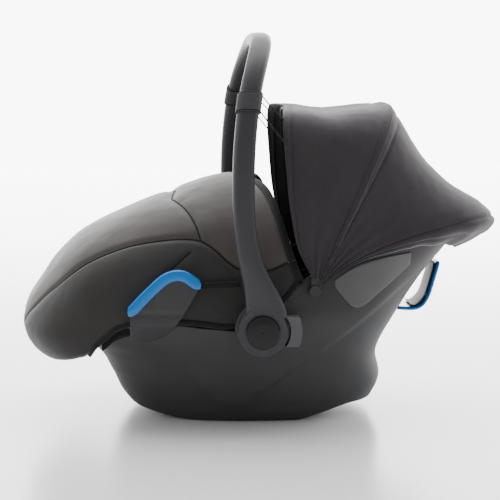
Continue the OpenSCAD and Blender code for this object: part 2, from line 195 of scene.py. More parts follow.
def tube(name, pts, radius, mat, sides=12, flat=1.0, up=(0, 0, 1)):
    """A round or flattened tube along points, closed at its ends."""
    p = np.asarray(pts, float)
    t = np.gradient(p, axis=0)
    t /= np.linalg.norm(t, axis=1, keepdims=True)
    r = np.broadcast_to(radius, (len(p),))
    a = np.cross(t, np.asarray(up, float))
    a /= np.maximum(np.linalg.norm(a, axis=1, keepdims=True), 1e-9)
    b = np.cross(a, t)
    ang = np.linspace(0, 2 * math.pi, sides, endpoint=False)
    v = [p[i] + r[i] * (flat * math.cos(q) * a[i] + math.sin(q) * b[i]) for i in range(len(p)) for q in ang]
    f = ring_faces(len(p), sides) + end_faces(len(p), sides)
    return make(name, v, f, [mat])


def flip(o, name):
    """A mirror image of a piece on the other side."""
    me = o.data.copy()
    for v in me.vertices:
        v.co.y = -v.co.y
    me.flip_normals()
    q = bpy.data.objects.new(name, me)
    bpy.context.collection.objects.link(q)
    return q


def area_m2(p):
    """Area of a grid of points given in millimetres."""
    a = p[1:, :-1] - p[:-1, :-1]
    b = p[:-1, 1:] - p[:-1, :-1]
    return float(np.linalg.norm(np.cross(a, b), axis=2).sum()) * 1e-6


# ---------------------------------------------------------------- materials


def shader(name, rough, metal=0.0, spec=0.5, sheen=0.0, coat=0.0):
    m = bpy.data.materials.new(name)
    m.use_nodes = True
    t = m.node_tree
    b = t.nodes["Principled BSDF"]
    b.inputs["Roughness"].default_value = rough
    b.inputs["Metallic"].default_value = metal
    b.inputs["Specular IOR Level"].default_value = spec
    b.inputs["Sheen Weight"].default_value = sheen
    b.inputs["Sheen Roughness"].default_value = 0.45
    b.inputs["Coat Weight"].default_value = coat
    b.inputs["Coat Roughness"].default_value = 0.08
    c = t.nodes.new("ShaderNodeTexCoord")
    return m, t, b, c.outputs["Object"]


def noise_node(t, vec, scale, detail=3.0, rough=0.5):
    n = t.nodes.new("ShaderNodeTexNoise")
    n.inputs["Scale"].default_value = scale
    n.inputs["Detail"].default_value = detail
    n.inputs["Roughness"].default_value = rough
    t.links.new(vec, n.inputs["Vector"])
    return n.outputs["Fac"]


def ramp(t, fac, c0, c1, p0=0.3, p1=0.7):
    r = t.nodes.new("ShaderNodeValToRGB")
    r.color_ramp.elements[0].position = p0
    r.color_ramp.elements[1].position = p1
    r.color_ramp.elements[0].color = (*c0, 1)
    r.color_ramp.elements[1].color = (*c1, 1)
    t.links.new(fac, r.inputs["Fac"])
    return r.outputs["Color"]


def math_node(t, op, a, b=None):
    n = t.nodes.new("ShaderNodeMath")
    n.operation = op
    for i, v in enumerate((a, b)):
        if v is None:
            continue
        if isinstance(v, (int, float)):
            n.inputs[i].default_value = v
        else:
            t.links.new(v, n.inputs[i])
    return n.outputs[0]


def bump(t, b, height, strength, distance):
    n = t.nodes.new("ShaderNodeBump")
    n.inputs["Strength"].default_value = strength
    n.inputs["Distance"].default_value = distance
    t.links.new(height, n.inputs["Height"])
    t.links.new(n.outputs["Normal"], b.inputs["Normal"])


def shade(c, f):
    return tuple(max(0.0, x * f) for x in c)


def rough_map(t, b, fac, lo, hi):
    n = t.nodes.new("ShaderNodeMapRange")
    n.inputs["To Min"].default_value = lo
    n.inputs["To Max"].default_value = hi
    t.links.new(fac, n.inputs["Value"])
    t.links.new(n.outputs["Result"], b.inputs["Roughness"])


def plastic(name, color, rough, grain=900.0, strength=0.12, coat=0.0, spec=0.5, vary=0.12):
    m, t, b, v = shader(name, rough, spec=spec, coat=coat)
    cloud = noise_node(t, v, 9.0, 4.0)
    t.links.new(ramp(t, cloud, shade(color, 1 - vary), shade(color, 1 + vary)), b.inputs["Base Color"])
    fine = noise_node(t, v, grain, 2.0)
    rough_map(t, b, noise_node(t, v, 30.0, 5.0), rough - 0.05, rough + 0.07)
    bump(t, b, fine, strength, 0.0003)
    return m


def woven(name, color, thread=1100.0, strength=0.35, rough=0.85, sheen=0.25, vary=0.18):
    m, t, b, v = shader(name, rough, spec=0.25, sheen=sheen)
    s = t.nodes.new("ShaderNodeSeparateXYZ")
    t.links.new(v, s.inputs[0])
    x = math_node(t, "ADD", s.outputs["X"], math_node(t, "MULTIPLY", s.outputs["Z"], 0.6))
    y = math_node(t, "ADD", s.outputs["Y"], math_node(t, "MULTIPLY", s.outputs["Z"], 0.8))
    warp = math_node(t, "SINE", math_node(t, "MULTIPLY", x, thread * 2))
    weft = math_node(t, "SINE", math_node(t, "MULTIPLY", y, thread * 2))
    weave = math_node(t, "MULTIPLY", warp, weft)
    slub = noise_node(t, v, 260.0, 3.0)
    threads = math_node(t, "ADD", math_node(t, "MULTIPLY", weave, 0.22), slub)
    cloud = math_node(t, "MULTIPLY", noise_node(t, v, 7.0, 4.0), 0.6)
    tone = math_node(t, "ADD", cloud, math_node(t, "MULTIPLY", threads, 0.4))
    colors = ramp(t, tone, shade(color, 1 - vary), shade(color, 1 + vary), 0.3, 0.7)
    t.links.new(colors, b.inputs["Base Color"])
    rough_map(t, b, slub, rough - 0.06, min(1.0, rough + 0.08))
    bump(t, b, threads, strength, 0.0005)
    return m


def softshell(name, color, rough=0.62, sheen=0.35):
    """Smooth brushed fabric with a fine pebbled face."""
    m, t, b, v = shader(name, rough, spec=0.35, sheen=sheen)
    cloud = noise_node(t, v, 5.0, 5.0)
    grain = noise_node(t, v, 520.0, 4.0, 0.65)
    tone = math_node(t, "ADD", math_node(t, "MULTIPLY", cloud, 0.65), math_node(t, "MULTIPLY", grain, 0.35))
    t.links.new(ramp(t, tone, shade(color, 0.82), shade(color, 1.18), 0.35, 0.65), b.inputs["Base Color"])
    rough_map(t, b, grain, rough - 0.06, rough + 0.1)
    bump(t, b, grain, 0.22, 0.0004)
    return m


def steel(name):
    m, t, b, v = shader(name, 0.3, metal=1.0)
    fine = noise_node(t, v, 700.0, 3.0)
    t.links.new(ramp(t, fine, (0.5, 0.5, 0.52), (0.68, 0.68, 0.7)), b.inputs["Base Color"])
    rough_map(t, b, fine, 0.24, 0.4)
    bump(t, b, fine, 0.08, 0.0002)
    return m


SHELL = plastic("shell_plastic", (0.030, 0.030, 0.032), 0.50, 1400.0, 0.22, spec=0.42)
HANDLE = plastic("handle_plastic", (0.036, 0.036, 0.040), 0.44, 1800.0, 0.08, spec=0.4)
TAB = plastic("tab_grey", (0.070, 0.070, 0.074), 0.42, 1500.0, 0.08)
GLOSS = plastic("gloss_black", (0.004, 0.004, 0.004), 0.16, 600.0, 0.02, coat=0.2, spec=0.2, vary=0.05)
BLUE = plastic("blue_plastic", (0.0, 0.17, 0.56), 0.24, 800.0, 0.03, coat=0.35, spec=0.35, vary=0.06)
LINING = plastic("hook_lining", (0.012, 0.012, 0.013), 0.55)
LABEL = plastic("label", (0.085, 0.085, 0.088), 0.48, 900.0, 0.04)
BLACK = plastic("black_plastic", (0.012, 0.012, 0.013), 0.4)
BOW = plastic("bow_plastic", (0.018, 0.018, 0.019), 0.5)
LEVER = plastic("lever_plastic", (0.075, 0.075, 0.08), 0.4)
RED = plastic("red_plastic", (0.50, 0.018, 0.014), 0.3, coat=0.3)
FOAM = plastic("foam", (0.62, 0.62, 0.61), 0.85, 330.0, 0.5)
STEEL = steel("steel")
MUFF = softshell("cover_fabric", (0.060, 0.052, 0.049), 0.6, 0.4)
# Darker copy of the cover fabric for the cover's sides: painted shade
MUFF_PAINTED_SHADE = softshell("cover_side_painted_shade", (0.022, 0.020, 0.019), 0.66, 0.3)
CANOPY = woven("canopy_fabric", (0.036, 0.031, 0.035), 1500.0, 0.25, 0.86, 0.35)
BINDING = woven("binding", (0.009, 0.009, 0.009), 2100.0, 0.35, 0.8, 0.15)
ELASTIC = woven("elastic", (0.050, 0.049, 0.053), 2300.0, 0.5, 0.75, 0.2)
SEAT = woven("seat_fabric", (0.026, 0.026, 0.028), 900.0, 0.5, 0.9, 0.3)
INSERT = woven("insert_fabric", (0.075, 0.074, 0.078), 800.0, 0.5, 0.92, 0.4)
WEB = woven("webbing", (0.011, 0.011, 0.012), 2600.0, 0.6, 0.7, 0.15)

BY_SLOT = {
    "shell_plastic": SHELL, "handle_plastic": HANDLE, "tab_grey": TAB, "gloss_black": GLOSS,
    "blue_plastic": BLUE, "hook_lining": LINING, "label": LABEL, "black_plastic": BLACK,
    "bow_plastic": BOW, "lever_plastic": LEVER, "red_plastic": RED, "foam": FOAM, "steel": STEEL,
    "cover_fabric": MUFF, "canopy_fabric": CANOPY, "binding": BINDING, "elastic": ELASTIC,
    "seat_fabric": SEAT, "insert_fabric": INSERT, "webbing": WEB,
}
for part in frame["record"]["subparts"]:
    cad = NODES[part["node"]]
    cad.data.materials.clear()
    cad.data.materials.append(BY_SLOT[part["material_slot"]])


def place(o, body, slot_name, *nodes):
    """Puts a piece on a body and hides the CAD nodes that it replaces; slot_name is not used."""
    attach(o, body)
    if nodes:
        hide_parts(*nodes)
    return o


# ---------------------------------------------------------------- shell

SHELL_W = 178
FRONT = [[0, 175], [30, 200], [60, 215], [95, 238], [115, 280], [140, 315], [160, 320]]
REAR = [[0, 150], [25, 170], [50, 180], [90, 175], [140, 200], [200, 240], [260, 290], [300, 305]]
SIDE = [[0, -55], [20, -40], [100, -15], [145, 0], [170, 0], [300, -20]]
RIM = [[-320, 145], [-200, 148], [-120, 148], [-80, 143], [-10, 143], [30, 180], [70, 210],
       [120, 240], [200, 265], [310, 290]]
# Rings of the underside: share of the base outline, and height above the rockers
SOLE = [(0.01, 12), (0.2, 12), (0.4, 12), (0.6, 12), (0.655, 11.4), (0.675, 8), (0.695, 3.5),
        (0.72, 0.4), (0.76, 0), (0.9, 0), (0.965, 0)]
SOLE_INSIDE = [(0.97, 0), (0.755, 0), (0.69, 12), (0.35, 12), (0.01, 12)]
# Pressed crease on each side, a V that starts under the lug and climbs to the back
CREASE = [[-190, 150], [-130, 100], [-70, 32], [-30, 22], [20, 60], [90, 110], [215, 200]]


def rocker(x):
    """Height of the underside above the floor, which rises at both ends."""
    return 18 * (np.maximum(0, -95 - x) / 95) ** 1.5 + 18 * ease((x - 50) / 70)


def half_w(z):
    return SHELL_W + curve(z, SIDE)


def wall_y(x, z):
    """Half-width of the shell's outside at a place and height."""
    end = np.where(np.asarray(x) > 0, curve(z, REAR), curve(z, FRONT))
    return half_w(z) * (1 - np.minimum(0.98, np.abs(x) / end) ** PLAN_N) ** (1 / PLAN_N)


def shell_point(a, z, inset, drop):
    q = np.maximum(0, z - drop)
    c, s = np.cos(a), np.sin(a)
    ext = np.where(c > 0, curve(q, REAR), curve(q, FRONT)) - inset
    return np.stack([ext * spow(c, 2 / PLAN_N), (half_w(q) - inset) * spow(s, 2 / PLAN_N), z + 0 * a], -1)


def shell_rim(a):
    c = np.cos(a)
    return curve(np.where(c > 0, 300, 320) * spow(c, 2 / PLAN_N), RIM)


def build_shell():
    n = 260
    a = np.linspace(0, 2 * math.pi, n, endpoint=False)
    base = shell_point(a, np.zeros(n), 0, 0)
    base_in = shell_point(a, np.zeros(n), 4, 0)
    rings = []
    for s, lift in SOLE:
        p = base * s
        rings.append(np.stack([p[:, 0], p[:, 1], rocker(p[:, 0]) + lift], -1))
    z0 = rocker(base[:, 0])
    zr = shell_rim(a)
    for t in np.linspace(0.012, 1, 110):
        z = z0 + (zr - z0) * t
        p = shell_point(a, z, 0, 0)
        # The side below the crease stands a little inside the panel above it
        ridge = curve(p[:, 0], CREASE)
        tilt = np.abs(curve(p[:, 0] + 2, CREASE) - curve(p[:, 0] - 2, CREASE)) / 4
        off = (p[:, 2] - ridge) / np.sqrt(1 + tilt ** 2)
        side = np.clip((np.abs(p[:, 1]) - 60) / 60, 0, 1) * np.clip((p[:, 2] - 6) / 16, 0, 1)
        press = 4.2 / (1 + np.exp(off / 1.8)) + 0.9 * bump_at(off, 3.2)
        p[:, 1] -= np.sign(p[:, 1]) * press * side
        # Rounded lip
        lip = np.clip((t - 0.965) / 0.035, 0, 1)
        p[:, 1] -= np.sign(p[:, 1]) * 0.9 * lip ** 2
        rings.append(p)
    for t in np.linspace(1, 0.05, 26):
        z = z0 + 4 + (zr - z0 - 4) * t
        rings.append(shell_point(a, z, 4.3 if t < 1 else 3.2, 4))
    for s, lift in SOLE_INSIDE:
        p = base_in * s
        rings.append(np.stack([p[:, 0], p[:, 1], rocker(p[:, 0]) + lift + 4], -1))
    v = np.concatenate(rings)
    f = ring_faces(len(rings), n) + end_faces(len(rings), n)
    return v, [tuple(reversed(q)) for q in f]


sv, sf = build_shell()
shell = make("outer_shell_moulding", sv, sf, [SHELL])

LUG = [[-186, 170], [-160, 197], [-135, 218], [-112, 221], [-90, 207]]
LUG_FOOT, LUG_SHOULDER, LUG_Y = 122, 150, 190


def build_lug():
    """Belt guide horn that flares out from the shell wall, with a soft crease at its shoulder."""
    x = np.linspace(-185, -91, 48)[:, None]
    i = (x + 185) / 94
    top = curve(x, LUG) - 1.5
    low = mix(LUG_FOOT, top - 6, i ** 3)
    z = mix(low, top, np.linspace(0, 1, 40)[None, :])
    t = np.clip((z - LUG_FOOT) / (LUG_SHOULDER - LUG_FOOT), 0, 1)
    y = mix(wall_y(x, LUG_FOOT) - 0.5, LUG_Y, t)
    face = y - 0.8 * bump_at(z - 166, 3.5) + 0.4 * ease((z - 166) / 8)
    back = y - 7 * mix(0.4, 1, t)
    back_grid = np.stack([x + 0 * z, -back, z], -1)
    face_grid = np.stack([x + 0 * z, -face, z], -1)
    return sheet_mesh("belt_lug_near", back_grid, face_grid, [SHELL])


lug_near = build_lug()
lug_far = flip(lug_near, "belt_lug_far")


# Turned outline of the hub seat: radius, and distance from the middle of the seat
BOSS = [(0.5, 176), (34, 176), (36.4, 177.2), (37, 180), (37, 188.6), (35.8, 190.6), (33, 191),
        (9.5, 191), (9.5, 176.4)]


def build_boss(side):
    """Round hub seat on the shell side."""
    sides = 96
    v = [(HUB[0] + r * math.cos(q), side * y, HUB[1] + r * math.sin(q)) for r, y in BOSS
         for q in np.linspace(0, 2 * math.pi, sides, endpoint=False)]
    f = ring_faces(len(BOSS), sides)
    if side < 0:
        f = [tuple(reversed(q)) for q in f]
    return make("hub_boss_" + ("near" if side < 0 else "far"), v, f, [SHELL])


place(shell, "shell", "shell_plastic", "outer_shell")
for piece in (lug_near, lug_far, build_boss(-1), build_boss(1)):
    place(piece, "shell", "shell_plastic")


# Section of the blue channel: distance out from the horn's edge, and distance from the middle of the seat
GUIDE = [(-8.6, 193.0), (-9.4, 192.2), (-9.4, 190.7), (1.0, 190.7), (1.0, 182.6), (-9.4, 182.6),
         (-9.4, 181.0), (-8.6, 180.6), (2.8, 180.6), (4.4, 181.2), (5.2, 183.0), (5.2, 190.8),
         (4.4, 192.4), (2.8, 193.0)]


def round_edges(o):
    """Small bevel on the sharp edges of a guide."""
    bev = o.modifiers.new("edge", "BEVEL")
    bev.width = 0.0016
    bev.segments = 3
    bev.limit_method = "ANGLE"


def build_guide():
    """Blue channel clipped over the horn, with rounded edges."""
    n = 96
    x = np.linspace(-188.5, -87.5, n)
    line = np.stack([x, curve(x, LUG)], -1)
    d = np.gradient(line, axis=0)
    d /= np.linalg.norm(d, axis=1, keepdims=True)
    nrm = np.stack([-d[:, 1], d[:, 0]], -1)
    k = len(GUIDE)
    end = np.clip(np.minimum(np.arange(n), n - 1 - np.arange(n)) / 7.0, 0, 1)
    taper = 0.15 + 0.85 * np.sqrt(1 - (1 - end) ** 2)
    v = []
    for at, out, size in zip(line, nrm, taper):
        v += [(at[0] + out[0] * h * size, -y, at[1] + out[1] * h * size) for h, y in GUIDE]
    f = []
    for i in range(n - 1):
        for j in range(k):
            q = (j + 1) % k
            f.append((i * k + j, (i + 1) * k + j, (i + 1) * k + q, i * k + q))
    f.append(tuple(range(k)))
    f.append(tuple((n - 1) * k + j for j in range(k - 1, -1, -1)))
    return make("belt_guide_near", v, f, [BLUE])


guide_near = build_guide()
guide_far = flip(guide_near, "belt_guide_far")
round_edges(guide_near)
round_edges(guide_far)
place(guide_near, "shell", "blue_plastic", "belt_guide_right")
place(guide_far, "shell", "blue_plastic", "belt_guide_left")


def hook_strip(name, line, thick, half, mat):
    """A curved strip across the back, rounded at its edges."""
    _, p = smooth_rows(line, 40)
    d = np.gradient(p, axis=0)
    d /= np.linalg.norm(d, axis=1, keepdims=True)
    nrm = np.stack([-d[:, 1], d[:, 0]], -1)
    cols = 26
    top, low = np.zeros((40, cols, 3)), np.zeros((40, cols, 3))
    for i in range(40):
        for j in range(cols):
            s = 2 * j / (cols - 1) - 1
            edge = 1 - 0.55 * np.clip((abs(s) - 0.86) / 0.14, 0, 1) ** 2
            end = 1 - 0.5 * np.clip((abs(i / 19.5 - 1) - 0.9) / 0.1, 0, 1) ** 2
            h = thick / 2 * edge * end
            w = half * (1 - 0.1 * np.clip((i / 39 - 0.8) / 0.2, 0, 1) ** 2)
            top[i, j] = (p[i, 0] - nrm[i, 0] * h, s * w, p[i, 1] - nrm[i, 1] * h)
            low[i, j] = (p[i, 0] + nrm[i, 0] * h, s * w, p[i, 1] + nrm[i, 1] * h)
    return sheet_mesh(name, low, top, [mat])


HOOK_FOOT = 146
HOOK_START = float(curve(HOOK_FOOT, REAR)) + 2.2
HOOK = [[HOOK_START, HOOK_FOOT], [235, HOOK_FOOT], [250, 160], [260, 190], [267, 215]]
LINING_LINE = [[226, 150.5], [234, 150.5], [246, 163.5], [255, 191], [261, 212]]
hook = hook_strip("rear_belt_hook_band", HOOK, 5.8, 32, BLUE)
lining = hook_strip("rear_hook_liner", LINING_LINE, 2.0, 30, LINING)
place(hook, "shell", "blue_plastic", "rear_belt_hook")
place(lining, "shell", "hook_lining", "rear_hook_lining")


def build_label(side):
    """Plain label with rounded corners and soft blank bands, and no lettering."""
    _, rows = smooth_rows([[98, 200, 208], [130, 168, 228], [170, 192, 238], [210, 224, 242]], 30)
    top, low = np.zeros((30, 16, 3)), np.zeros((30, 16, 3))
    for i, (x, z0, z1) in enumerate(rows):
        for j in range(16):
            z = z0 + (z1 - z0) * j / 15
            y = float(wall_y(x, z))
            top[i, j] = (x, side * (y + 1.4), z)
            low[i, j] = (x, side * (y + 0.5), z)
    if side > 0:
        top, low = low, top
    return sheet_mesh("info_label_" + ("near" if side < 0 else "far"), top, low, [LABEL])


place(build_label(-1), "shell", "label", "info_label_right")
place(build_label(1), "shell", "label", "info_label_left")

# ---------------------------------------------------------------- handle

ARM = [[145, -5], [175, 0], [255, -24], [350, -30], [460, -20], [550, 5]]
ARM_Y = 208
ARM_W = 15.5
BAR_T = 22
RISE = HANDLE_TOP - BAR_T / 2 - HUB[1]


def bar_half(z):
    return ARM_W * (1 + math.exp(-((z - HUB[1]) / 65) ** 2))


def bar_at(t):
    a = math.radians(5.5 + 169 * t)
    c, s = math.cos(a), math.sin(a)
    g = ((abs(c) / ARM_Y) ** 3.4 + (s / RISE) ** 3.4) ** (-1 / 3.4)
    z = HUB[1] + g * s
    return np.array([float(curve(z, ARM)), g * c, z])


def build_bar():
    """One smooth bow, swelling into the hubs, with a grip flat under the crown."""
    steps, sides = 150, 36
    v = []
    for k in range(steps + 1):
        t = k / steps
        p = bar_at(t)
        d = bar_at(min(1, t + 0.004)) - bar_at(max(0, t - 0.004))
        d /= np.linalg.norm(d)
        v1 = np.array([0, -d[2], d[1]])
        v1 /= np.linalg.norm(v1)
        w = bar_half(p[2]) - 0.3
        h = 10.8
        for i in range(sides):
            a = 2 * math.pi * i / sides
            fore = np.array([w * float(spow(math.cos(a), 0.78)), 0, 0])
            v.append(p + fore + v1 * h * float(spow(math.sin(a), 0.78)))
    f = ring_faces(steps + 1, sides) + end_faces(steps + 1, sides)
    return make("handle_bow", v, f, [HANDLE])


bar = build_bar()


def drum(name, side, radius):
    """Plain round cutter round the hub axis."""
    ang = np.linspace(0, 2 * math.pi, 128, endpoint=False)
    v = [(HUB[0] + radius * math.cos(q), side * y, HUB[1] + radius * math.sin(q))
         for y in (180, 230) for q in ang]
    f = [(j, (j + 1) % 128, 128 + (j + 1) % 128, 128 + j) for j in range(128)]
    f += [tuple(range(127, -1, -1)), tuple(range(128, 256))]
    if side > 0:
        f = [tuple(reversed(q)) for q in f]
    return make(name, v, f, [HANDLE], smooth=False)


cut = [drum("hub_cut", side, 34.3) for side in (-1, 1)]
for c in cut:
    mod = bar.modifiers.new("hub", "BOOLEAN")
    mod.object = c
    mod.operation = "DIFFERENCE"
    mod.solver = "EXACT"
bpy.context.view_layer.update()
done = bpy.data.meshes.new_from_object(bar.evaluated_get(bpy.context.evaluated_depsgraph_get()))
bar.modifiers.clear()
bar.data = done
done.materials.clear()
done.materials.append(HANDLE)
done.polygons.foreach_set("material_index", [0] * len(done.polygons))
done.polygons.foreach_set("use_smooth", [True] * len(done.polygons))
done.set_sharp_from_angle(angle=math.radians(40))
for c in cut:
    bpy.data.objects.remove(c, do_unlink=True)
place(bar, "handle", "handle_plastic", "handle_bar")


# Stretch of the bar that the elastic loop covers, as shares of the bar's turn
LOOP_FROM, LOOP_TO = 0.314, 0.335


def build_loop(side):
    """Elastic loop round a handle arm, with a ribbed face and dark edges."""
    rows, sides = 14, 48
    outer, inner = np.zeros((rows, sides + 1, 3)), np.zeros((rows, sides + 1, 3))
    for r in range(rows):
        t = LOOP_FROM + (LOOP_TO - LOOP_FROM) * r / (rows - 1)
        p = bar_at(t)
        d = bar_at(t + 0.004) - bar_at(t - 0.004)
        d /= np.linalg.norm(d)
        v1 = np.array([0, -d[2], d[1]])
        v1 /= np.linalg.norm(v1)
        w = bar_half(p[2])
        rib = 0.18 * math.cos(r * math.pi)
        for i in range(sides + 1):
            a = 2 * math.pi * i / sides
            for grid, g in ((outer, 2.1 + rib), (inner, 0.6)):
                fore = np.array([(w + g) * float(spow(math.cos(a), 0.8)), 0, 0])
                q = p + fore + v1 * (11 + g) * float(spow(math.sin(a), 0.8))
                grid[r, i] = (q[0], side * q[1], q[2])
    if side > 0:
        outer, inner = inner, outer
    edge = np.zeros((rows - 1, sides), int)
    edge[[0, -1]] = 1
    name = "elastic_loop_" + ("near" if side < 0 else "far")
    return sheet_mesh(name, inner, outer, [ELASTIC, BINDING], mask=edge)


loop_near, loop_far = build_loop(-1), build_loop(1)
place(loop_near, "handle", "elastic", "elastic_loop_right")
place(loop_far, "handle", "elastic", "elastic_loop_left")

# ---------------------------------------------------------------- canopy

REAR_CREST = [[290, 235], [330, 255], [347, 275], [330, 300], [280, 335], [235, 380], [190, 445]]
FRONT_CREST = [[190, 445], [110, 440], [40, 445], [15, 445]]
FRONT_HEM = [[0, 97], [30, 100], [45, 103], [60, 108], [75, 112], [90, 100]]
SIDE_W = 185


def about_fold(line):
    """Crest points as [angle, radius] about the canopy pivot."""
    d = np.asarray(line, float) - np.array(FOLD)
    return np.stack([np.degrees(np.arctan2(d[:, 1], d[:, 0])), np.hypot(d[:, 0], d[:, 1])], -1)


REAR_POLAR = about_fold(REAR_CREST)
FRONT_POLAR = about_fold(FRONT_CREST)
MID_A, TAIL_A = FRONT_POLAR[0, 0], REAR_POLAR[0, 0]


def ribs(a, r, w, n, f):
    """Points of the canopy at angles a about the pivot and turns f across it."""
    c, s = np.cos(f), np.abs(np.sin(f))
    g = ((c / r) ** n + (s / w) ** n) ** (-1 / n)
    return np.stack([FOLD[0] + np.cos(a) * g * c, g * np.sin(f), FOLD[1] + np.sin(a) * g * c], -1)


def canopy_grid(rear, nu, nf):
    u = np.linspace(0, 1, nu)[:, None]
    f = np.radians(np.linspace(-85, 85, nf))[None, :]
    fd = np.abs(np.degrees(f))
    if rear:
        ac = mix(MID_A, TAIL_A, u)
        a = np.radians(mix(MID_A, TAIL_A + 33 * (fd / 85) ** 1.7, u))
        n = 3.6 - 0.6 * u
        r = curve(ac, REAR_POLAR)
    else:
        ac = mix(MID_A + 0.5, FRONT_HEM[0][1], u)
        a = np.radians(mix(MID_A + 0.5, curve(fd, FRONT_HEM), u))
        n = 3.6 + 4.4 * u
        r = curve(ac, FRONT_POLAR)
    f2 = f + 0 * u
    return u + 0 * f, np.degrees(f2), ribs(a, r - 1.0, SIDE_W - 1.0, n + 0 * f, f2)


def folds(u, fd, p, rear):
    """Cloth sag between bows, pull lines from the pivots and small creases."""
    low = np.clip(np.abs(fd) / 85, 0, 1)
    sag = -2.2 * np.sin(np.pi * np.clip(u, 0, 1)) ** 2 * np.cos(np.radians(fd)) ** 2
    pull = 1.5 * np.sin(u * (26 if rear else 19) + 2.2 * wobble(p, 0.012, 3.1)) * low ** 3 * np.sin(np.pi * u)
    crease = 2.1 * wobble(p * np.array([1.0, 0.45, 1.0]), 0.021, 11.7) * np.sin(np.pi * np.clip(u, 0, 1))
    d = sag + pull + crease + 0.5 * wobble(p, 0.07, 5.5)
    if rear:
        # Gathered fabric and the light turned band at the tail
        tail = np.clip((u - 0.72) / 0.28, 0, 1)
        d += tail * 1.6 * np.sin(fd * 0.42 + 3 * wobble(p, 0.02, 8.8)) * bump_at(fd, 60)
        d -= 2.4 * bump_at(u - 0.86, 0.012)
        d -= 1.7 * bump_at(u - 0.955, 0.01)
    else:
        d -= 1.7 * bump_at(u - 0.93, 0.012)
    d += 1.8 * bump_at(u, 0.035) - 1.5 * bump_at(u - 0.055, 0.01)
    return d


def build_canopy(name, rear):
    nu, nf = (110, 150) if rear else (80, 150)
    u, fd, p = canopy_grid(rear, nu, nf)
    n = grid_normals(p)
    mid = np.array([FOLD[0], 0, FOLD[1]])
    if np.sum((p - mid) * n) < 0:
        n = -n
    out = p + n * np.minimum(folds(u, fd, p, rear), 2.2)[..., None]
    low = out - n * 1.4
    # The cut is that of the smooth panel before it folds, inside the rectangle that holds it
    across = np.linalg.norm(np.diff(p, axis=1), axis=2).sum(axis=1).max()
    along = np.linalg.norm(np.diff(p, axis=0), axis=2).sum(axis=0).max()
    o = sheet_mesh(name, *((out, low) if rear else (low, out)), [CANOPY])
    return o, (float(across) * MM, float(along) * MM), area_m2(p)


rear, rear_flat, rear_area = build_canopy("canopy_rear_cloth", True)
front, front_flat, front_area = build_canopy("canopy_front_cloth", False)
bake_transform(rear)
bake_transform(front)


def build_cords(side):
    """Two short elastic cords from the loop on the handle to the canopy's front corner."""
    _, turns, hem_grid = canopy_grid(False, 12, 150)
    tag = "near" if side < 0 else "far"
    for k, (t, turn_at) in enumerate(((0.333, 34), (0.316, 41))):
        p = bar_at(t)
        start = np.array([p[0] + bar_half(p[2]) + 1.2, side * (p[1] + 2.0), p[2]])
        j = int(np.argmin(np.abs(turns[-1] - side * turn_at)))
        end = hem_grid[-1, j] + np.array([1.0, side * 1.5, 0])
        steps = np.linspace(0, 1, 12)
        line = [mix(start, end, q) + np.array([0, 0, -0.8 * math.sin(math.pi * q)]) for q in steps]
        name = "elastic_cord_" + tag + "_" + str(k + 1)
        cord = place(tube(name, line, 0.9, BINDING, 8), "handle", "elastic")


build_cords(-1)
build_cords(1)


# Turn where the piping stops, short of the place where the front bow folds up beside it
PIPING_END = 70


def build_canopy_seam():
    """Piping sewn over the middle bow, where the two panels of the canopy meet."""
    _, turns, rear_edge = canopy_grid(True, 12, 150)
    front_edge = canopy_grid(False, 12, 150)[2]
    clear = np.abs(turns[0]) < PIPING_END
    line = list(((rear_edge[0] + front_edge[0]) / 2)[clear])
    return tube("canopy_seam_piping", line, 3.0, CANOPY, 14)


place(build_canopy_seam(), "canopy_middle", "canopy_fabric")
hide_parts("canopy_rear_panel")
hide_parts("canopy_front_panel")

# ---------------------------------------------------------------- foot cover

# Sections of the cover from toe to hem: x and height of its base, x and height of its crest, half-width
COVER = [[-240, 105, -262, 92, 150], [-236, 112, -310, 86, 160], [-230, 120, -345, 135, 166],
         [-218, 130, -310, 200, 171], [-200, 144, -270, 250, 175], [-160, 153, -185, 294, 178],
         [-100, 150, -90, 330, 178], [-40, 145, -42, 343, 175], [15, 170, -26, 343, 175],
         [48, 206, -12, 335, 175]]
LAST = len(COVER) - 1
# Turn in degrees of the seam between the top and the sides, by section; the sides take a darker copy of the
# cover fabric as painted shade
SEAM = [[0, 20], [2.0, 30], [2.6, 42], [3.5, 51], [5, 52], [6.1, 53], [7.2, 66], [9.0, 80]]
# Section of the seam across the crest, by turn in degrees
CROSS = [[0, 5.65], [20, 5.6], [53, 6.1]]
# How far the hem bows out between crest and edge, and which way
HEM_BOW = 12
HEM_WAY = np.array([0.92, 0, 0.39])
# Columns of the cover's grid from its edge to the seam, and from the seam to the crest
SIDE_COLS, TOP_COLS = 46, 50


def cover_point(u, f, inset=0.0):
    """Points of the cover for sections u and turns f in degrees, as arrays of one shape."""
    k = np.clip(u.astype(int), 0, LAST - 1)
    t = np.asarray(COVER, float)
    h = (u - k)[..., None]
    a, b, c, d = t[np.maximum(k - 1, 0)], t[k], t[k + 1], t[np.minimum(k + 2, LAST)]
    bend = (2 * a - 5 * b + 4 * c - d) * h ** 2 + (3 * b - a - 3 * c + d) * h ** 3
    row = 0.5 * (2 * b + (c - a) * h + bend)
    way = np.stack([row[..., 2] - row[..., 0], 0 * u, row[..., 3] - row[..., 1]], -1)
    reach = np.linalg.norm(way, axis=-1)
    r, w = reach - inset, row[..., 4] - inset
    cos, sin = np.cos(np.radians(f)), np.sin(np.radians(f))
    g = ((cos / r) ** 2.5 + (np.abs(sin) / w) ** 2.5) ** (-1 / 2.5)
    p = np.stack([row[..., 0], g * sin, row[..., 1]], -1) + way * (g * cos / reach)[..., None]
    bow = HEM_BOW * ease((u - 6) / 3) * np.sin(np.radians(2 * np.abs(f))) ** 2
    return p + HEM_WAY * bow[..., None]


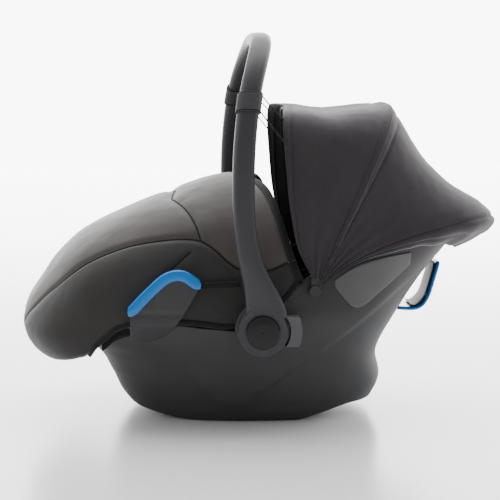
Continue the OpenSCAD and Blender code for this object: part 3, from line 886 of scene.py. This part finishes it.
def cover_turns(u):
    """Turns for each section, spaced so that one column on each side runs along the seam."""
    s = np.asarray(curve(u, SEAM))[:, None]
    side = np.linspace(0, 1, SIDE_COLS + 1)[None, :]
    half = np.linspace(0, 1, TOP_COLS + 1)[None, 1:]
    left = -89.2 + (89.2 - s) * side
    top = -s * (1 - half)
    row = np.concatenate([left, top], axis=1)
    return np.concatenate([row, -row[:, -2::-1]], axis=1)


def swell(verts, faces, held, pressure, cap):
    """Points of a closed pad blown up as cloth, held at some points and moved by cap millimetres at most."""
    pad = make("pad_cloth", verts, faces, [MUFF])
    form = bmesh.new()
    form.from_mesh(pad.data)
    bmesh.ops.recalc_face_normals(form, faces=form.faces)
    form.to_mesh(pad.data)
    form.free()
    start = np.array([v.co for v in pad.data.vertices])
    pins = pad.vertex_groups.new(name="held")
    pins.add([int(k) for k in held], 1.0, "REPLACE")
    cloth = pad.modifiers.new("cloth", "CLOTH")
    cloth.settings.quality = 6
    cloth.settings.mass = 0.3
    cloth.settings.use_pressure = True
    cloth.settings.uniform_pressure_force = pressure
    cloth.settings.tension_stiffness = 5
    cloth.settings.compression_stiffness = 5
    cloth.settings.shear_stiffness = 1.7
    cloth.settings.bending_stiffness = 0.1
    cloth.settings.vertex_group_mass = "held"
    cloth.settings.effector_weights.gravity = 0
    cloth.collision_settings.use_collision = False
    scene = bpy.context.scene
    for step in range(1, 21):
        scene.frame_set(step)
    done = pad.evaluated_get(bpy.context.evaluated_depsgraph_get())
    end = np.array([v.co for v in done.data.vertices])
    scene.frame_set(1)
    bpy.data.objects.remove(pad, do_unlink=True)
    way = end - start
    far = np.linalg.norm(way, axis=1, keepdims=True)
    return (start + way * np.minimum(1, cap * MM / np.maximum(far, 1e-9))) / MM


cu1 = np.linspace(0, LAST, 170)
cf = cover_turns(cu1)
cu = cu1[:, None] + 0 * cf
cp = cover_point(cu, cf)
cn = grid_normals(cp)
if np.sum((cp - np.array([-150, 0, 150])) * cn) < 0:
    cn = -cn
turn = np.abs(cf)
seam = curve(cu, SEAM)
edge = np.clip((89.2 - turn) / 10, 0, 1) * np.clip((LAST - cu) / 0.4, 0, 1)
shape = (cp.shape[0], cp.shape[1])
# Padding: how small it starts, how hard it is blown up and how far a point may move, in millimetres
PAD_START = 1.5
PAD_PRESSURE = 40.0
PAD_CAP = 8.0


def swell_cover():
    """How far the padding pushes each point of the cover out, by cloth held at its edges and seams."""
    rows = np.unique(np.append(np.arange(0, shape[0], 3), shape[0] - 1))
    cols = np.unique(np.concatenate([np.arange(0, SIDE_COLS, 4), SIDE_COLS + np.arange(0, 2 * TOP_COLS, 4),
                                     SIDE_COLS + 2 * TOP_COLS + np.arange(0, SIDE_COLS, 4), [shape[1] - 1]]))
    pick = np.ix_(rows, cols)
    face = cp[pick] - cn[pick] * PAD_START
    back = cp[pick] - cn[pick] * (PAD_START + 9)
    m, n = face.shape[:2]
    on_seam = (np.abs(seam_mm[pick]) < 1) | (np.abs(cross_mm[pick]) < 9) & (turn[pick] < seam[pick])
    rim = np.zeros((m, n), bool)
    rim[[0, -1]] = True
    rim[:, [0, -1]] = True
    held = np.concatenate([np.flatnonzero(on_seam | rim), m * n + np.arange(m * n)])
    both = np.concatenate([face.reshape(-1, 3), back.reshape(-1, 3)])
    blown = swell(both, closed_faces(m, n), held, PAD_PRESSURE, PAD_CAP)[: m * n].reshape(m, n, 3)
    push = np.sum((blown - face) * cn[pick], axis=2)
    along = np.stack([np.interp(np.arange(shape[0]), rows, push[:, k]) for k in range(n)], axis=1)
    return np.stack([np.interp(np.arange(shape[1]), cols, line) for line in along])


seam_mm = (turn - seam) * 2.6
cross_mm = (cu - curve(turn, CROSS)) * 95
dart_mm = (cu - mix(5.15, 5.9, (76 - turn) / 18)) * 80
in_seam = bump_at(seam_mm, 3.4)
in_cross = bump_at(cross_mm, 4.0) * np.clip((seam - turn) / 2, 0, 1)
in_dart = bump_at(dart_mm, 3.0) * np.clip((turn - 57) / 3, 0, 1) * np.clip((75 - turn) / 3, 0, 1)
groove = -3.6 * in_seam - 3.2 * in_cross - 1.8 * in_dart
wave = 1.4 * wobble(cp * np.array([1, 0.6, 1]), 0.013, 2.3) + 0.8 * wobble(cp, 0.032, 7.9)
wave = wave + 0.3 * wobble(cp, 0.09, 4.4)
puff = 1.2 * edge * (1 - bump_at(seam_mm, 14)) - 0.6
rise = groove + puff + wave * edge
rise = rise + swell_cover() - PAD_START * edge
cover_out = cp + cn * np.minimum(rise, 3.0)[..., None]
cover_in = cp - cn * (3.0 + 6.5 * np.clip(cu / 5, 0, 1) * edge)[..., None]
column = np.arange(cp.shape[1] - 1)[None, :] + 0 * cp[:-1, :1, 0].astype(int)
# Cells of the sides, which take the darker copy of the cover fabric as painted shade
sides = (column < SIDE_COLS) | (column >= cp.shape[1] - 1 - SIDE_COLS)
muff = sheet_mesh("foot_cover_padded", cover_out, cover_in, [MUFF, MUFF_PAINTED_SHADE], mask=sides)
place(muff, "shell", "cover_fabric", "footmuff")


def seam_thread(name, at):
    """Dark sunk thread along a line of [section, turn] points of the cover."""
    line = []
    for u, f in at:
        i = u / LAST * (shape[0] - 1)
        j = float(np.interp(f, cf[int(round(i))], np.arange(shape[1])))
        a, b = min(int(i), shape[0] - 2), min(int(j), shape[1] - 2)
        low = mix(cover_out[a, b], cover_out[a, b + 1], j - b)
        high = mix(cover_out[a + 1, b], cover_out[a + 1, b + 1], j - b)
        line.append(mix(low, high, i - a) + cn[a, b] * 0.3)
    place(tube(name, line, 1.2, BINDING, 8), "shell", "binding")


for sgn, tag in ((-1, "near"), (1, "far")):
    seam_thread("cover_seam_" + tag, [(u, sgn * float(curve(u, SEAM))) for u in cu1[2:-4]])
    dart = [(5.15 + 0.75 * (76 - t) / 18, sgn * t) for t in np.linspace(75, 58, 20)]
    seam_thread("cover_dart_" + tag, dart)
seam_thread("cover_cross_seam", [(float(curve(abs(t), CROSS)), t) for t in np.linspace(-53, 53, 107)])

hem = [cover_out[-1, j] + np.array([2.2, 0, 1.0]) for j in range(cover_out.shape[1])]
binding = tube("foot_cover_binding", hem, 5.6, BINDING, 14, 0.9, (1, 0, 0.4))
place(binding, "shell", "binding", "footmuff_binding")
for side, tag in ((0, "near"), (-1, "far")):
    line = [cover_out[i, side] + np.array([0, 0, -0.6]) for i in range(cover_out.shape[0])]
    place(tube("foot_cover_hem_" + tag, line, 4.2, BINDING, 12, 0.7), "shell", "binding")

# Section where the skirt starts, how far it drops and how thick it is
SKIRT_FROM, SKIRT_DROP, SKIRT_THICK = 2.6, 20, 1.4


def build_skirt(side):
    """Thin edge of the cover tucked down inside the shell's rim."""
    edge_line = cover_out[cu1 >= SKIRT_FROM][:, 0 if side < 0 else -1]
    steps = np.linspace(0, 1, 8)[None, :]
    x = edge_line[:, 0:1]
    inside = wall_y(x, curve(x, RIM)) - 6.0
    y = mix(np.abs(edge_line[:, 1:2]), inside, ease(steps * 2.5))
    face = np.stack([x + 0 * y, side * y, edge_line[:, 2:3] - SKIRT_DROP * steps ** 2 - 1.0], -1)
    back = face - np.array([0, side * SKIRT_THICK, 0])
    grids = (face, back) if side > 0 else (back, face)
    return sheet_mesh("foot_cover_skirt_" + ("near" if side < 0 else "far"), *grids, [BINDING])


for side in (-1, 1):
    place(build_skirt(side), "shell", "binding")

# Black keeper strap from the belt guide back towards the hub: its ends in x, half-width and height
STRAP_ENDS, STRAP_Y, STRAP_Z = (-92, -34), 179.6, 203.5
for sgn, tag in ((-1, "near"), (1, "far")):
    line = []
    for x in np.linspace(*STRAP_ENDS, 24):
        y = float(STRAP_Y + 0.6 * math.sin((x + 90) / 12))
        line.append((x, sgn * y, STRAP_Z + 2.0 * (x + 92) / 60))
    place(tube("cover_strap_" + tag, line, 4.6, BINDING, 12, 0.32, (0, 0, 1)), "shell", "binding")

# ---------------------------------------------------------------- seat

SEAT_LINE = [[-295, 142], [-210, 132], [-150, 108], [-60, 66], [0, 50], [50, 60], [120, 112],
             [200, 192], [250, 252]]
COVER_SHARE = [[-290, 0.78], [-205, 0.88], [100, 0.92], [200, 0.87], [250, 0.72]]


def inner_w(x):
    end = np.where(np.asarray(x) < 0, 310, curve(curve(x, RIM), REAR) - 8)
    return (SHELL_W - 7) * (1 - (np.abs(x) / end) ** PLAN_N) ** (1 / PLAN_N)


def seat_z(x, y):
    c = curve(x, SEAT_LINE)
    return c + np.maximum(0, curve(x, RIM) - 3 - c) * np.minimum(1, np.abs(y) / inner_w(x)) ** 3.5


def head_t(x, y):
    rise = ease((np.asarray(x) - 115) / 15) * (np.asarray(x) >= 120)
    return rise * (10 + 22 * np.minimum(1, np.abs(y) / 72) ** 3)


def seat_sheet(name, x0, x1, nx, ny, tab, lift, thick, mat, quilt=0.0):
    x = np.linspace(x0, x1, nx)[:, None]
    y = np.linspace(-1, 1, ny)[None, :] * (inner_w(x) * curve(x, tab))
    xx = x + 0 * y
    z = seat_z(xx, y) + lift
    if quilt:
        z = z - quilt * (bump_at(np.abs(y) - 62, 3.5) + bump_at(xx - 40, 3.5) + bump_at(xx + 60, 3.5)) \
            + 0.8 * wobble(np.stack([xx, y, z], -1), 0.03, 1.7)
    top = np.stack([xx, y, z], -1)
    low = np.stack([xx, y, seat_z(xx, y) + lift - thick], -1)
    return sheet_mesh(name, low, top, [mat])


seat = seat_sheet("seat_cover_padded", -280, 250, 110, 80, COVER_SHARE, -0.6, 7.0, SEAT, 2.2)
place(seat, "shell", "seat_fabric", "seat_cover")


def lay(name, rows, lift, thick, mat, crown=0.0, across=9, quilt=0.0):
    """A strip or pad lying on the seat: rows of [x, middle y, half-width]."""
    _, q = smooth_rows(rows, 40)
    s = np.linspace(-1, 1, across)[None, :]
    x = q[:, 0:1] + 0 * s
    y = q[:, 1:2] + q[:, 2:3] * s
    ends = np.clip(np.minimum(np.arange(40), 39 - np.arange(40)) / 4.0, 0, 1)[:, None]
    side_fall, end_fall = (0.75, 0.7) if crown else (0.15, 0.1)
    t = thick * (1 - side_fall * np.abs(s) ** 6) * (1 - end_fall * (1 - ends) ** 2)
    if quilt:
        t = t - quilt * bump_at(s * q[:, 2:3], 2.0)
    base = seat_z(x, y) + head_t(x, y) + lift
    return sheet_mesh(name, np.stack([x, y, base], -1), np.stack([x, y, base + t], -1), [mat])


for sgn, tag, node in ((1, "far", "left"), (-1, "near", "right")):
    web_line = [[196, sgn * 34, 14], [130, sgn * 26, 14], [62, sgn * 17.5, 14]]
    pad_line = [[178, sgn * 32, 18], [135, sgn * 26.5, 18], [92, sgn * 21, 18]]
    web = lay("shoulder_web_" + tag, web_line, 1.0, 1.3, WEB)
    pad = lay("shoulder_pad_" + tag, pad_line, 3.0, 7.0, SEAT, 1, 13, 1.2)
    place(web, "shell", "webbing", "shoulder_strap_" + node)
    place(pad, "shell", "seat_fabric", "shoulder_pad_" + node)
crotch = lay("crotch_pad_soft", [[-72, 0, 24], [-45, 0, 25], [-16, 0, 22]], 0.6, 8.2, SEAT, 1, 13, 1.0)
place(crotch, "shell", "seat_fabric", "crotch_pad")
crotch_web = lay("crotch_web", [[-78, 0, 17], [-45, 0, 17], [-13, 0, 17]], 9.6, 1.3, WEB)
place(crotch_web, "shell", "webbing", "crotch_strap")
adjuster_web = lay("adjuster_web", [[-212, 0, 12], [-180, 0, 12], [-146, 0, 12]], 0.8, 1.3, WEB)
place(adjuster_web, "shell", "webbing", "adjuster_strap")


def build_insert():
    x = np.linspace(120, 235, 60)[:, None]
    y = np.linspace(-72, 72, 60)[None, :]
    xx, yy = x + 0 * y, y + 0 * x
    rim = np.clip(np.minimum(72 - np.abs(yy), np.minimum(xx - 120, 235 - xx) * 1.2) / 9, 0, 1)
    t = np.maximum(0.9, head_t(xx, yy) * (0.35 + 0.65 * np.sqrt(rim)) - 1.3 * bump_at(np.abs(yy) - 40, 2.2))
    base = seat_z(xx, yy)
    low = np.stack([xx, yy, base + 0.5], -1)
    return sheet_mesh("head_insert_soft", low, np.stack([xx, yy, base + t], -1), [INSERT])


insert = build_insert()
place(insert, "shell", "insert_fabric", "head_insert")

# ---------------------------------------------------------------- floor, light, camera

floor_m = bpy.data.materials.new("floor")
floor_m.use_nodes = True
fb = floor_m.node_tree.nodes["Principled BSDF"]
fb.inputs["Base Color"].default_value = (0.93, 0.93, 0.935, 1)
fb.inputs["Roughness"].default_value = 0.22
fb.inputs["Specular IOR Level"].default_value = 0.35
fb.inputs["Emission Color"].default_value = (1, 1, 1, 1)
spot = floor_m.node_tree.nodes.new("ShaderNodeTexCoord")
parts = floor_m.node_tree.nodes.new("ShaderNodeSeparateXYZ")
behind = floor_m.node_tree.nodes.new("ShaderNodeMapRange")
behind.interpolation_type = "SMOOTHSTEP"
behind.inputs["From Min"].default_value = 0.3
behind.inputs["From Max"].default_value = 2.5
behind.inputs["To Max"].default_value = 3.0
floor_m.node_tree.links.new(spot.outputs["Object"], parts.inputs[0])
floor_m.node_tree.links.new(parts.outputs["Y"], behind.inputs["Value"])
floor_m.node_tree.links.new(behind.outputs["Result"], fb.inputs["Emission Strength"])
floor_me = bpy.data.meshes.new("floor")
floor_me.from_pydata([(-9, -9, 0), (9, -9, 0), (9, 9, 0), (-9, 9, 0)], [], [(0, 1, 2, 3)])
floor_me.materials.append(floor_m)
floor = bpy.data.objects.new("floor", floor_me)
bpy.context.collection.objects.link(floor)

glow = bpy.data.materials.new("backdrop")
glow.use_nodes = True
gt = glow.node_tree
gt.nodes.remove(gt.nodes["Principled BSDF"])
lit = gt.nodes.new("ShaderNodeEmission")
lit.inputs["Strength"].default_value = 9.0
gt.links.new(lit.outputs[0], gt.nodes["Material Output"].inputs["Surface"])
back_me = bpy.data.meshes.new("backdrop")
back_corners = [(-2.2, 4.5, -0.02), (2.2, 4.5, -0.02), (2.2, 4.5, 2.6), (-2.2, 4.5, 2.6)]
back_me.from_pydata(back_corners, [], [(0, 1, 2, 3)])
back_me.materials.append(glow)
backdrop = bpy.data.objects.new("backdrop", back_me)
bpy.context.collection.objects.link(backdrop)

world = bpy.data.worlds.new("studio")
bpy.context.scene.world = world
world.use_nodes = True
wt = world.node_tree
coord = wt.nodes.new("ShaderNodeTexCoord")
split = wt.nodes.new("ShaderNodeSeparateXYZ")
fade = wt.nodes.new("ShaderNodeMapRange")
fade.interpolation_type = "SMOOTHSTEP"
fade.inputs["From Min"].default_value = -0.6
fade.inputs["From Max"].default_value = 0.75
fade.inputs["To Min"].default_value = 0.30
fade.inputs["To Max"].default_value = 2.6
wt.links.new(coord.outputs["Generated"], split.inputs[0])
wt.links.new(split.outputs["Y"], fade.inputs["Value"])
wt.nodes["Background"].inputs["Color"].default_value = (1, 1, 1, 1)
wt.links.new(fade.outputs["Result"], wt.nodes["Background"].inputs["Strength"])


def lamp(name, loc, target, size, power):
    d = bpy.data.lights.new(name, "AREA")
    d.shape = "RECTANGLE"
    d.size, d.size_y = size
    d.energy = power
    o = bpy.data.objects.new(name, d)
    o.location = loc
    o.rotation_euler = (Vector(target) - Vector(loc)).to_track_quat("-Z", "Y").to_euler()
    bpy.context.collection.objects.link(o)


lamp("top_soft", (0.1, 0.5, 2.1), (0, 0, 0.3), (2.2, 1.6), 30)
lamp("left_soft", (-2.0, -0.7, 1.3), (-0.1, 0, 0.25), (1.2, 1.6), 8)
lamp("right_back", (1.9, 1.2, 1.3), (0.1, 0, 0.25), (1.0, 1.6), 14)
lamp("front_fill", (0.4, -2.6, 1.0), (0, 0, 0.2), (2.4, 1.2), 3)

VIEW_AZIMUTH = math.radians(-3.2)
VIEW_HEIGHT = math.radians(7.3)
VIEW_DISTANCE = 2.5
VIEW_WIDTH = 0.74
LOOK_AT = Vector((-0.01, 0, 0.23))
towards = Vector((math.sin(VIEW_AZIMUTH) * math.cos(VIEW_HEIGHT),
                  -math.cos(VIEW_AZIMUTH) * math.cos(VIEW_HEIGHT),
                  math.sin(VIEW_HEIGHT)))
cam_d = bpy.data.cameras.new("camera")
cam_d.sensor_width = 36
cam_d.lens = cam_d.sensor_width * VIEW_DISTANCE / VIEW_WIDTH
cam = bpy.data.objects.new("camera", cam_d)
cam.location = LOOK_AT + towards * VIEW_DISTANCE
cam.rotation_euler = (-towards).to_track_quat("-Z", "Y").to_euler()
bpy.context.collection.objects.link(cam)
bpy.context.scene.camera = cam
